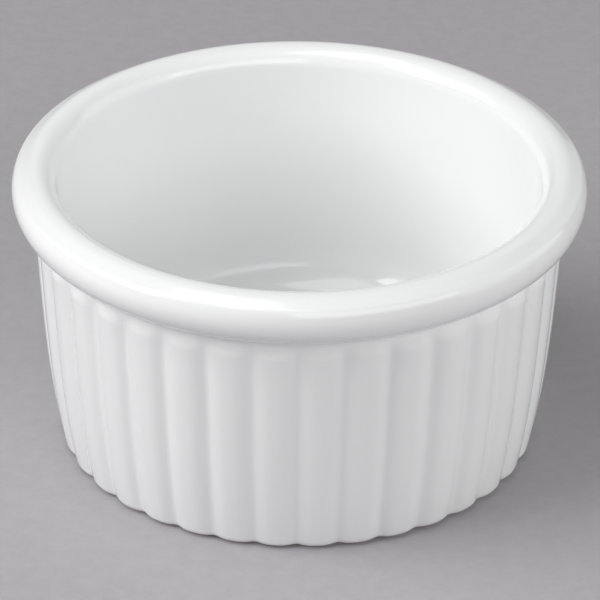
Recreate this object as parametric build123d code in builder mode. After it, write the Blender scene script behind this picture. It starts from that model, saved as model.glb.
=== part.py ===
from build123d import *
import os
from math import acos, ceil, cos, radians, sin, tan

# White fluted ramekin: a fired clay cup and the glass-like glaze melted over it.
# Millimetres. Z is up, and the origin is the middle of the foot, on the table.

# The whole cup
rim_diameter = 79.4
height = 42.0

# Rolled rim, in section
rim_overhang = 3.0
rim_depth = 6.6
rim_roll = 3.6
shoulder_angle = 30
lip_round = 2.4

# Flutes: rounded ribs side by side, with a narrow valley between each two, as deep as this at
# the neck and shallower with the radius towards the foot
flute_count = 36
flute_depth = 0.6
flute_top_round = 1.9
neck_band = 1.5

# Fluted wall, from the neck down to the heel
foot_taper = 2.0
heel_sweep = 1.5
heel_sweep_power = 4
heel_round = 1.2

# Foot ring and the recess inside it
foot_ring_width = 2.6
foot_recess = 1.2
recess_slope = 0.8

# Inside of the cup
wall_thickness = 2.6
bowl_draft = 3.5
floor_thickness = 3.0
floor_round = 8.0

# Glaze: its thickness, and how high above the table it is wiped off the foot
glaze_thickness = 0.3
glaze_line = 0.5

# Extra length of a cut past the face that it leaves by
overrun = 1.0

# The fluted wall is drawn at these shares of its height above the rounded heel, the heel at
# these turns in degrees, and the rounded tops of the flutes at these
wall_height_shares = (0.3, 1.0)
heel_turns = (0, 45, 90)
top_turns = (45, 90)

# Arcs of the turned sections are drawn in straight runs that stray by at most this
arc_sag = 0.1

# The clay under the glaze is drawn more simply inside the same curves: its flutes in this
# many flat sides each, up to a ledge at a share of their rounded tops, and its rim, bowl and
# recess in longer runs, with one side to each flute
clay_rib_runs = 2
clay_ledge_share = 0.4
clay_arc_sag = 0.2

# Worked out from the sizes above
rim_radius = rim_diameter / 2
neck_crest_radius = rim_radius - rim_overhang
rim_underside = height - rim_depth
roll_centre_radius = rim_radius - rim_roll
roll_centre_height = rim_underside + rim_roll
flute_top = rim_underside - neck_band
flute_full_top = flute_top - flute_top_round
foot_outer_radius = neck_crest_radius - foot_taper - heel_sweep - heel_round
recess_radius = foot_outer_radius - foot_ring_width
mouth_radius = neck_crest_radius - wall_thickness
floor_height = foot_recess + floor_thickness
valley_share = 1 - flute_depth / neck_crest_radius


def crest_radius(z):
    """Radius of the flute crests: a slow taper that sweeps in faster towards the heel."""
    below_neck = 1 - z / flute_top
    sweep = heel_sweep * below_neck**heel_sweep_power
    return neck_crest_radius - foot_taper * below_neck - sweep


def rib_edges(valley_radius, rib_radius, angle, pitch, runs):
    """Edges over one rib, from valley to valley: an arc, or straight runs along that arc."""
    arc = ThreePointArc(
        Vector(valley_radius, 0).rotate(Axis.Z, angle),
        Vector(rib_radius, 0).rotate(Axis.Z, angle + pitch / 2),
        Vector(valley_radius, 0).rotate(Axis.Z, angle + pitch),
        mode=Mode.ADD if runs == 1 else Mode.PRIVATE,
    )
    if runs > 1:
        Polyline([arc @ (run / runs) for run in range(runs + 1)])


def flute_ring(z, valley_radius, rib_radius, runs):
    """Cross-section of the fluted wall at height z."""
    pitch = 360 / flute_count
    with BuildSketch(Plane.XY.offset(z)) as ring:
        with BuildLine():
            for flute in range(flute_count):
                rib_edges(valley_radius, rib_radius, flute * pitch, pitch, runs)
        make_face()
    return ring.sketch


def wall_rings(skin, runs):
    """Cross-sections of the flutes at full depth, drawn in from the surface by skin."""
    levels = []
    for turn in heel_turns:
        z = heel_round * (1 - cos(radians(turn)))
        levels.append((z, crest_radius(z) - heel_round * (1 - sin(radians(turn)))))
    for share in wall_height_shares:
        z = heel_round + (flute_full_top - heel_round) * share
        levels.append((z, crest_radius(z)))
    return [flute_ring(z, (crest - skin) * valley_share, crest - skin, runs) for z, crest in levels]


def neck_rings():
    """Cross-sections where the flutes round off under the neck, and up the neck into the rim."""
    rings = []
    for turn in top_turns:
        z = flute_full_top + flute_top_round * sin(radians(turn))
        crest = crest_radius(z)
        valley = crest * valley_share
        rings.append(flute_ring(z, valley, valley + (crest - valley) * cos(radians(turn)), 1))
    neck_radius = neck_crest_radius * valley_share
    rings.append(flute_ring(roll_centre_height, neck_radius, neck_radius, 1))
    return rings


def corners(line, sag):
    """Points along a line, with each arc in straight runs that stray from it by at most sag."""
    points = []
    for edge in line.order_edges():
        runs = 1
        if edge.geom_type == GeomType.CIRCLE:
            run_turn = 2 * acos(1 - sag / edge.radius)
            runs = ceil(edge.length / edge.radius / run_turn)
        points += [edge @ (run / runs) for run in range(runs)]
    return [(point.X, point.Y) for point in points + [line @ 1]]


def rim_points(skin, sag):
    """Radii and heights over the rim, from its underside round its edge to the top of the lip."""
    roll = rim_roll - skin
    widest = (roll_centre_radius + roll, roll_centre_height)
    shoulder = (
        roll_centre_radius + roll * cos(radians(shoulder_angle)),
        roll_centre_height + roll * sin(radians(shoulder_angle)),
    )
    lip_top = (mouth_radius + lip_round, height - skin)
    across, down = shoulder[0] - lip_top[0], lip_top[1] - shoulder[1]
    top_radius = (across**2 + down**2) / (2 * down)
    with BuildLine() as under:
        RadiusArc((roll_centre_radius, rim_underside + skin), widest, -roll)
    with BuildLine() as over:
        RadiusArc(widest, shoulder, -roll)
        # The arc over the top is level where it reaches the lip
        RadiusArc(shoulder, lip_top, -top_radius)
    return corners(under.wire(), sag)[:-1] + corners(over.wire(), sag)


def bowl_points(skin, sag):
    """Radii and heights from the edge of the bowl's floor up its wall and past the lip's top."""
    lip = lip_round - skin
    lip_top = (mouth_radius + lip_round, height - skin)
    wall_top = (
        lip_top[0] - lip * cos(radians(bowl_draft)),
        height - lip_round + lip * sin(radians(bowl_draft)),
    )
    floor = floor_height - skin
    floor_radius = wall_top[0] - (wall_top[1] - floor) * tan(radians(bowl_draft))
    with BuildLine() as bowl:
        FilletPolyline((0, floor), (floor_radius, floor), wall_top, radius=floor_round + skin)
        RadiusArc(wall_top, lip_top, lip)
    return corners(bowl.wire(), sag)[1:] + [(lip_top[0], height + overrun)]


def recess_points(skin):
    """Radii and heights of the recess under the foot, from below the table up its sloping side."""
    radius = recess_radius + skin
    return [(radius, -overrun), (radius, 0), (radius - recess_slope, foot_recess + skin)]


def ring_inside(radius):
    """A ring with one side to each flute that lies within the round one."""
    RegularPolygon(radius, flute_count)


def ring_outside(radius):
    """A ring with one side to each flute that lies around the round one."""
    RegularPolygon(radius, flute_count, major_radius=False)


def turned_rings(points, draw_ring):
    """Cross-sections at the radii and heights of the points."""
    rings = []
    for radius, z in points:
        with BuildSketch(Plane.XY.offset(z)) as ring:
            draw_ring(radius)
        rings.append(ring.sketch)
    return rings


# The fired cup, smaller than the finished one by the glaze all over but its foot
ledge_height = flute_full_top + flute_top_round * clay_ledge_share
ledge_crest = crest_radius(flute_full_top) - glaze_thickness
ledge_valley = ledge_crest * valley_share
clay_wall = wall_rings(glaze_thickness, clay_rib_runs)
clay_wall.append(flute_ring(ledge_height, ledge_valley, ledge_crest, clay_rib_runs))
clay_neck = [(ledge_valley, flute_full_top), (ledge_valley, roll_centre_height)]
clay_rim = rim_points(glaze_thickness, clay_arc_sag)
clay_bowl = bowl_points(glaze_thickness, clay_arc_sag)
clay_recess = recess_points(glaze_thickness)
with BuildPart() as clay_body:
    loft(clay_wall, ruled=True)
    loft(turned_rings(clay_neck, ring_inside), ruled=True)
    loft(turned_rings(clay_rim, ring_inside), ruled=True)
    loft(turned_rings(clay_bowl, ring_outside), ruled=True, mode=Mode.SUBTRACT)
    loft(turned_rings(clay_recess, ring_outside), ruled=True, mode=Mode.SUBTRACT)
clay_body.part.label = "clay_body"

# The finished outside less the clay leaves the glaze, and below its line the foot is bare
with BuildPart() as glaze:
    loft(wall_rings(0, 1) + neck_rings(), ruled=True)
    loft(turned_rings(rim_points(0, arc_sag), Circle), ruled=True)
    loft(turned_rings(bowl_points(0, arc_sag), Circle), ruled=True, mode=Mode.SUBTRACT)
    loft(turned_rings(recess_points(0), Circle), ruled=True, mode=Mode.SUBTRACT)
    add(clay_body.part, mode=Mode.SUBTRACT)
    split(bisect_by=Plane.XY.offset(glaze_line))

# It is one skin over the outside, rim and bowl, and another in the recess under the foot
with BuildPart() as glaze_coat:
    add(glaze.solids().sort_by(SortBy.VOLUME)[-1])
glaze_coat.part.label = "glaze_coat"

with BuildPart() as foot_glaze:
    add(glaze.solids().sort_by(SortBy.VOLUME)[0])
foot_glaze.part.label = "foot_glaze"

os.makedirs("parts", exist_ok=True)
export_step(clay_body.part, "parts/clay_body.step")
export_step(glaze_coat.part, "parts/glaze_coat.step")
export_step(foot_glaze.part, "parts/foot_glaze.step")
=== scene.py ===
import math

import bpy
import numpy as np
from mathutils import Matrix, Vector


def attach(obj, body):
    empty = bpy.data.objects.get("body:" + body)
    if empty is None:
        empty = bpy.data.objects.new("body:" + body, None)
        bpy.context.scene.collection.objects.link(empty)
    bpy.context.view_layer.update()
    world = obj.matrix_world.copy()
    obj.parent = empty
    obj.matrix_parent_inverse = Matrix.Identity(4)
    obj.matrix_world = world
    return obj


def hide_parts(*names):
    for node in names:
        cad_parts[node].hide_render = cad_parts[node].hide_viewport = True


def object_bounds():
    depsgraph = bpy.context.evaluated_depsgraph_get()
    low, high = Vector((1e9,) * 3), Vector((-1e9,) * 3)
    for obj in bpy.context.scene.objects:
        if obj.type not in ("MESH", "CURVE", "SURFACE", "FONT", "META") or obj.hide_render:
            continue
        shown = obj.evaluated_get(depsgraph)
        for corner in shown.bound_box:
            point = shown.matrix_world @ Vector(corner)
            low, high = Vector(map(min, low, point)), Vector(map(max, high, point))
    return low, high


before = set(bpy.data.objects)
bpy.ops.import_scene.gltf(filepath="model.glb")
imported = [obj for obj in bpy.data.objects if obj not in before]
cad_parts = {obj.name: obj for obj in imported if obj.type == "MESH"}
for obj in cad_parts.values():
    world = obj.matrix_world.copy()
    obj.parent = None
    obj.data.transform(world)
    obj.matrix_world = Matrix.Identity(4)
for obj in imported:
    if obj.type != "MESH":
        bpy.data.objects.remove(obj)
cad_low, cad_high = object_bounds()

# A white glazed ramekin on a grey floor. Metres, +Z up, the origin in the middle of the foot.
MM = 0.001

# The whole cup, as large as the frame
RIM_RADIUS = cad_high.x
HEIGHT = cad_high.z

# Rolled rim and its lip, in section
RIM_OVERHANG = 3.0 * MM
RIM_DEPTH = 7.4 * MM
RIM_ROLL = 4.1 * MM
SHOULDER_ANGLE = math.radians(33)
SHOULDER_ROUND = 1.1 * MM
LIP_ROUND = 2.8 * MM

# Neck: a plain band over the flutes, and the hollow that takes it into the rim
NECK_BAND = 0.4 * MM
NECK_ROUND = 0.4 * MM

# Flutes: rounded ribs side by side, this deep at the neck, that fade out under it. A higher
# power makes a rib's crown flatter. Glaze softens the bottom of a valley, over about this share
# of the way to the crest.
FLUTE_COUNT = 36
FLUTE_DEPTH = 0.65 * MM
FLUTE_TOP_FADE = 2.6 * MM
RIB_CROWN_POWER = 2.6
VALLEY_SOFT_SHARE = 0.2

# Fluted wall, from the neck down to the heel
FOOT_TAPER = 2.0 * MM
HEEL_SWEEP = 1.5 * MM
HEEL_SWEEP_POWER = 4
HEEL_ROUND = 1.2 * MM

# Foot ring and the recess inside it
FOOT_RING_WIDTH = 2.6 * MM
FOOT_RECESS = 1.2 * MM
RECESS_SLOPE = 0.8 * MM

# Inside of the cup
WALL_THICKNESS = 3.1 * MM
BOWL_DRAFT = math.radians(3.5)
FLOOR_THICKNESS = 3.0 * MM
FLOOR_ROUND = 8.0 * MM

# Glaze: its thickness, and how high above the table it is wiped off the foot
GLAZE = 0.3 * MM
GLAZE_LINE = 0.5 * MM

# Worked out from the sizes above. A point of the section is a radius and a height.
NECK_CREST = RIM_RADIUS - RIM_OVERHANG
RIM_UNDERSIDE = HEIGHT - RIM_DEPTH
ROLL_CENTRE = np.array([RIM_RADIUS - RIM_ROLL, RIM_UNDERSIDE + RIM_ROLL])
FLUTE_TOP = RIM_UNDERSIDE - NECK_BAND
FLUTE_FULL_TOP = FLUTE_TOP - FLUTE_TOP_FADE
VALLEY_SHARE = 1 - FLUTE_DEPTH / NECK_CREST
NECK_RADIUS = NECK_CREST * VALLEY_SHARE
FOOT_OUTER = NECK_CREST - FOOT_TAPER - HEEL_SWEEP - HEEL_ROUND
RECESS_RADIUS = FOOT_OUTER - FOOT_RING_WIDTH
MOUTH_RADIUS = NECK_CREST - WALL_THICKNESS
LIP_CENTRE = np.array([MOUTH_RADIUS + LIP_ROUND, HEIGHT - LIP_ROUND])
FLOOR_HEIGHT = FOOT_RECESS + FLOOR_THICKNESS

# Mesh columns to each flute, and mesh rows along each stretch of the section
COLUMNS_PER_FLUTE = 16
HEEL_ROWS = 19
WALL_ROWS = 36
FADE_ROWS = 16
NECK_ROWS = 4
HOLLOW_ROWS = 8
ROLL_ROWS = 34
SHOULDER_ROWS = 9
RIM_TOP_ROWS = 6
LIP_ROWS = 28
BOWL_ROWS = 26
CORNER_ROWS = 30
FLOOR_ROWS = 14
RECESS_ROWS = 5

# The camera, worked out from the cup's outline in the photo, a frame 600 pixels wide
FRAME_PIXELS = 600
FOCAL_PIXELS = 4260.7
CAMERA_DISTANCE = 598.25 * MM
CAMERA_ELEVATION = math.radians(30.16)
CAMERA_ROLL = math.radians(0.51)
CAMERA_TARGET = Vector((0.237 * MM, 0, 20.0 * MM))
NEAREST_SEEN = 0.01
FARTHEST_SEEN = 20.0
SENSOR_WIDTH = 36.0

# The floor's reach from the cup to each side, and the strength of the light from all round
FLOOR_REACH = 3.0
WORLD_STRENGTH = 0.03


def crest_radius(z):
    """Radius of the flute crests at height z."""
    below_neck = 1 - z / FLUTE_TOP
    return NECK_CREST - FOOT_TAPER * below_neck - HEEL_SWEEP * below_neck**HEEL_SWEEP_POWER


def point_at(centre, radius, turn):
    """Section point at a radius from a centre, at an angle in radians."""
    return centre + radius * np.array([math.cos(turn), math.sin(turn)])


def arc(centre, radius, start, end, rows):
    """Section points round a centre, from one angle in radians to another, both included."""
    return [point_at(centre, radius, turn) for turn in np.linspace(start, end, rows)]


def line(start, end, rows):
    """Section points strictly between two points."""
    shares = np.linspace(0, 1, rows + 2)[1:-1]
    return [start + (end - start) * share for share in shares]


def angle_from(centre, point):
    """Angle in radians at which a point of the section is seen from a centre."""
    return math.atan2(point[1] - centre[1], point[0] - centre[0])


def fluted_side(lowest, skin):
    """Section of the outside from a height up to the neck, drawn in by skin from the surface.

    Each row is the radius in the valleys, the height, and how far the ribs stand out.
    """
    levels = []
    first_turn = math.acos(1 - lowest / HEEL_ROUND)
    for turn in np.linspace(first_turn, math.pi / 2, HEEL_ROWS):
        z = HEEL_ROUND * (1 - math.cos(turn))
        levels.append((z, crest_radius(z) - HEEL_ROUND * (1 - math.sin(turn)), 1))
    for share in np.linspace(0, 1, WALL_ROWS + 1)[1:]:
        z = HEEL_ROUND + (FLUTE_FULL_TOP - HEEL_ROUND) * share
        levels.append((z, crest_radius(z), 1))
    for share in np.linspace(0, 1, FADE_ROWS + 1)[1:]:
        z = FLUTE_FULL_TOP + FLUTE_TOP_FADE * share
        levels.append((z, crest_radius(z), (1 + math.cos(math.pi * share)) / 2))
    rows = []
    for z, crest, full in levels:
        valley = (crest - skin) * VALLEY_SHARE
        rows.append((valley, z, (crest - skin - valley) * full))
    return rows


def rim_side():
    """Section points from the top of the flutes up the neck and over the rim, down to the bowl."""
    # The hollow touches the neck and, from outside, the roll
    hollow_radius = NECK_RADIUS + NECK_ROUND
    inset = hollow_radius - ROLL_CENTRE[0]
    drop = math.sqrt((RIM_ROLL + NECK_ROUND) ** 2 - inset**2)
    hollow = np.array([hollow_radius, ROLL_CENTRE[1] - drop])
    roll_start = angle_from(ROLL_CENTRE, hollow)

    # The flat top slopes from the lip down to the roll, and faces out and up at this angle
    top_end = point_at(ROLL_CENTRE, RIM_ROLL, SHOULDER_ANGLE)
    top_length = np.linalg.norm(top_end - LIP_CENTRE)
    top_turn = angle_from(LIP_CENTRE, top_end) + math.acos(LIP_ROUND / top_length)
    face = point_at(0, 1, top_turn)
    slope = np.array([face[1], -face[0]])

    # The shoulder's round touches the flat top and, from inside, the roll
    above = (LIP_CENTRE - ROLL_CENTRE) @ face + LIP_ROUND - SHOULDER_ROUND
    along = math.sqrt((RIM_ROLL - SHOULDER_ROUND) ** 2 - above**2)
    shoulder = ROLL_CENTRE + above * face + along * slope
    roll_end = angle_from(ROLL_CENTRE, shoulder)

    flute_top = np.array([NECK_RADIUS, FLUTE_TOP])
    points = line(flute_top, np.array([NECK_RADIUS, hollow[1]]), NECK_ROWS)
    points += arc(hollow, NECK_ROUND, math.pi, roll_start + math.pi, HOLLOW_ROWS)
    points += arc(ROLL_CENTRE, RIM_ROLL, roll_start, roll_end, ROLL_ROWS)[1:]
    points += arc(shoulder, SHOULDER_ROUND, roll_end, top_turn, SHOULDER_ROWS)[1:]
    lip = arc(LIP_CENTRE, LIP_ROUND, top_turn, math.pi - BOWL_DRAFT, LIP_ROWS)
    return points + line(points[-1], lip[0], RIM_TOP_ROWS) + lip


def bowl_side(wall_top):
    """Section points from the top of the bowl's wall down to its floor and in to the axis."""
    floor_radius = wall_top[0] - (wall_top[1] - FLOOR_HEIGHT) * math.tan(BOWL_DRAFT)
    corner_inset = FLOOR_ROUND * (1 - math.sin(BOWL_DRAFT)) / math.cos(BOWL_DRAFT)
    corner = np.array([floor_radius - corner_inset, FLOOR_HEIGHT + FLOOR_ROUND])
    round_floor = arc(corner, FLOOR_ROUND, -BOWL_DRAFT, -math.pi / 2, CORNER_ROWS)
    middle = np.array([0, FLOOR_HEIGHT])
    points = line(wall_top, round_floor[0], BOWL_ROWS) + round_floor
    return points + line(round_floor[-1], middle, FLOOR_ROWS) + [middle]


def turned_side():
    """Section from the top of the flutes over the rim and down the bowl, all without flutes."""
    rim = rim_side()
    return [(radius, z, 0.0) for radius, z in rim + bowl_side(rim[-1])]


def recess_side(lowest, skin):
    """Section of the recess under the foot, from the axis out and down its side to a height."""
    roof, radius = FOOT_RECESS + skin, RECESS_RADIUS + skin
    middle = np.array([0, roof])
    corner = np.array([radius - RECESS_SLOPE, roof])
    edge = np.array([radius - RECESS_SLOPE * lowest / roof, lowest])
    points = [middle] + line(middle, corner, FLOOR_ROWS)
    points += [corner] + line(corner, edge, RECESS_ROWS) + [edge]
    return [(radius, z, 0.0) for radius, z in points]


def drawn_in(rows, skin):
    """The same section, moved by skin into the cup's body."""
    rows = np.array(rows)
    step = np.gradient(rows[:, :2], axis=0)
    step /= np.linalg.norm(step, axis=1)[:, None]
    moved = rows.copy()
    moved[:, 0] -= skin * step[:, 1]
    moved[:, 1] += skin * step[:, 0]
    moved[rows[:, 0] == 0, 0] = 0
    return [tuple(row) for row in moved]


def rib(turns):
    """How far out a rib stands at each angle, from 0 in a valley to 1 on its crest."""
    from_valley = 1 - np.abs(2 * ((turns * FLUTE_COUNT / (2 * math.pi)) % 1) - 1)
    soft = np.sqrt(from_valley**2 + VALLEY_SOFT_SHARE**2) - VALLEY_SOFT_SHARE
    soft /= math.sqrt(1 + VALLEY_SOFT_SHARE**2) - VALLEY_SOFT_SHARE
    return 1 - (1 - soft) ** RIB_CROWN_POWER


def turned_mesh(name, rows, material, node):
    """A closed piece turned from a section that starts and ends on the axis, ribs and all."""
    columns = FLUTE_COUNT * COLUMNS_PER_FLUTE
    turns = np.arange(columns) * 2 * math.pi / columns
    ribs, across, along = rib(turns), np.cos(turns), np.sin(turns)
    points, rings = [], []
    for radius, z, rib_height in rows:
        first = len(points)
        if radius == 0:
            points.append((0.0, 0.0, z))
            rings.append([first] * columns)
        else:
            out = radius + rib_height * ribs
            points.extend(zip(out * across, out * along, np.full(columns, z)))
            rings.append(list(range(first, first + columns)))
    faces = []
    for low, high in zip(rings[:-1], rings[1:]):
        for here in range(columns):
            there = (here + 1) % columns
            corners = (low[here], low[there], high[there], high[here])
            # On the axis two corners are one point, which leaves a triangle
            faces.append(tuple(dict.fromkeys(corners)))
    mesh = bpy.data.meshes.new(name)
    mesh.from_pydata(points, [], faces)
    mesh.shade_smooth()
    mesh.materials.append(material)
    piece = bpy.data.objects.new(name, mesh)
    bpy.context.scene.collection.objects.link(piece)
    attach(piece, "root")
    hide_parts(node)


def new_material(name, finish):
    """A material with the values of its finish set on its shader."""
    material = bpy.data.materials.new(name)
    material.use_nodes = True
    shader = material.node_tree.nodes["Principled BSDF"]
    for socket, value in finish.items():
        shader.inputs[socket].default_value = value
    return material


def add_noise(material, scale, detail, roughness):
    """The output of a new noise in the material, over the object's own coordinates."""
    tree = material.node_tree
    where = tree.nodes.new("ShaderNodeTexCoord")
    noise = tree.nodes.new("ShaderNodeTexNoise")
    noise.inputs["Scale"].default_value = scale
    noise.inputs["Detail"].default_value = detail
    noise.inputs["Roughness"].default_value = roughness
    tree.links.new(where.outputs["Object"], noise.inputs["Vector"])
    return noise.outputs["Fac"]


def add_tints(material, noise, spread, tints):
    """Colour the material from one tint to the other, while its noise goes over the spread."""
    tree = material.node_tree
    ramp = tree.nodes.new("ShaderNodeValToRGB")
    for stop, position, tint in zip(ramp.color_ramp.elements, spread, tints):
        stop.position = position
        stop.color = (*tint, 1)
    tree.links.new(noise, ramp.inputs["Fac"])
    tree.links.new(ramp.outputs["Color"], tree.nodes["Principled BSDF"].inputs["Base Color"])


def add_bump(material, noise, strength, distance):
    """Raise and lower the material's surface a little with its noise."""
    tree = material.node_tree
    bump = tree.nodes.new("ShaderNodeBump")
    bump.inputs["Strength"].default_value = strength
    bump.inputs["Distance"].default_value = distance
    tree.links.new(noise, bump.inputs["Height"])
    tree.links.new(bump.outputs["Normal"], tree.nodes["Principled BSDF"].inputs["Normal"])


def white_glaze():
    """Glossy white glaze, with a faint cloud in its white and a faint ripple in its surface."""
    material = new_material("white_glaze", {"Roughness": 0.09, "IOR": 1.5})
    cloud = add_noise(material, scale=45.0, detail=3.0, roughness=0.5)
    add_tints(material, cloud, (0, 1), ((0.870, 0.877, 0.879), (0.886, 0.889, 0.890)))
    ripple = add_noise(material, scale=160.0, detail=2.0, roughness=0.4)
    add_bump(material, ripple, strength=0.12, distance=0.12 * MM)
    return material


def bare_clay():
    """Matt fired clay, finely speckled and grainy."""
    material = new_material("bare_clay", {"Roughness": 0.85})
    grain = add_noise(material, scale=700.0, detail=5.0, roughness=0.7)
    add_tints(material, grain, (0.3, 0.7), ((0.60, 0.57, 0.52), (0.74, 0.72, 0.67)))
    add_bump(material, grain, strength=0.4, distance=0.08 * MM)
    return material


def floor_paper():
    """Dull grey paper, finely mottled."""
    material = new_material("floor_paper", {"Roughness": 0.9, "Specular IOR Level": 0.2})
    mottle = add_noise(material, scale=420.0, detail=5.0, roughness=0.7)
    add_tints(material, mottle, (0.35, 0.65), ((0.398, 0.383, 0.399), (0.430, 0.414, 0.431)))
    return material


def cup():
    """The three layers of the cup, each a closed mesh in place of its own node."""
    glaze = white_glaze()
    turned = turned_side()
    turned_behind = drawn_in(turned, GLAZE)
    outside = fluted_side(GLAZE_LINE, 0) + turned
    outside_behind = fluted_side(GLAZE_LINE, GLAZE) + turned_behind
    skin = outside_behind[::-1] + outside
    turned_mesh("glaze_skin", skin, glaze, "glaze_coat")
    recess = recess_side(GLAZE_LINE, 0)
    recess_behind = recess_side(GLAZE_LINE, GLAZE)
    foot_skin = recess + recess_behind[::-1]
    turned_mesh("foot_glaze_skin", foot_skin, glaze, "foot_glaze")
    clay = recess_side(0, GLAZE) + fluted_side(0, GLAZE) + turned_behind
    turned_mesh("clay_cup", clay, bare_clay(), "clay_body")


def floor():
    """The flat floor that the cup stands on."""
    low, high = -FLOOR_REACH, FLOOR_REACH
    corners = [(low, low, 0), (high, low, 0), (high, high, 0), (low, high, 0)]
    mesh = bpy.data.meshes.new("floor")
    mesh.from_pydata(corners, [], [(0, 1, 2, 3)])
    mesh.materials.append(floor_paper())
    sheet = bpy.data.objects.new("floor", mesh)
    bpy.context.scene.collection.objects.link(sheet)


def camera():
    """The camera, in front of the cup and above it, rolled a little as the photo is."""
    data = bpy.data.cameras.new("camera")
    data.sensor_width = SENSOR_WIDTH
    data.lens = FOCAL_PIXELS * SENSOR_WIDTH / FRAME_PIXELS
    data.clip_start = NEAREST_SEEN
    data.clip_end = FARTHEST_SEEN
    eye = bpy.data.objects.new("camera", data)
    bpy.context.scene.collection.objects.link(eye)
    back = Vector((0, -math.cos(CAMERA_ELEVATION), math.sin(CAMERA_ELEVATION)))
    level = Vector((1, 0, 0))
    right = level * math.cos(CAMERA_ROLL) + back.cross(level) * math.sin(CAMERA_ROLL)
    up = back.cross(right)
    turn = Matrix((right, up, back)).transposed()
    place = Matrix.Translation(CAMERA_TARGET + back * CAMERA_DISTANCE)
    eye.matrix_world = place @ turn.to_4x4()
    bpy.context.scene.camera = eye


def softbox(name, azimuth, elevation, distance, size, power):
    """A rectangular lamp that faces the cup's middle. Azimuth 0 is at +X, 90 at +Y, in degrees."""
    data = bpy.data.lights.new(name, "AREA")
    data.shape = "RECTANGLE"
    data.size, data.size_y = size
    data.energy = power
    lamp = bpy.data.objects.new(name, data)
    bpy.context.scene.collection.objects.link(lamp)
    turn, rise = math.radians(azimuth), math.radians(elevation)
    level = math.cos(rise)
    out = Vector((level * math.cos(turn), level * math.sin(turn), math.sin(rise)))
    lamp.location = Vector((0, 0, HEIGHT / 2)) + out * distance
    lamp.rotation_mode = "QUATERNION"
    lamp.rotation_quaternion = out.to_track_quat("Z", "Y")


def lights():
    """Five soft lamps round the cup, the strongest on its left, and a faint light all round."""
    softbox("key", azimuth=193, elevation=32, distance=0.70, size=(0.56, 0.40), power=4.05)
    softbox("high", azimuth=215, elevation=70, distance=0.80, size=(0.50, 0.50), power=1.9)
    softbox("front", azimuth=300, elevation=26, distance=0.85, size=(1.00, 0.40), power=3.0)
    softbox("right", azimuth=0, elevation=20, distance=0.80, size=(0.90, 0.60), power=2.5)
    softbox("back", azimuth=75, elevation=24, distance=0.80, size=(0.90, 0.60), power=0.8)
    world = bpy.data.worlds.new("studio")
    world.use_nodes = True
    background = world.node_tree.nodes["Background"]
    background.inputs["Color"].default_value = (1.0, 1.0, 1.0, 1)
    background.inputs["Strength"].default_value = WORLD_STRENGTH
    bpy.context.scene.world = world


cup()
floor()
camera()
lights()
bpy.context.scene.view_settings.view_transform = "Standard"
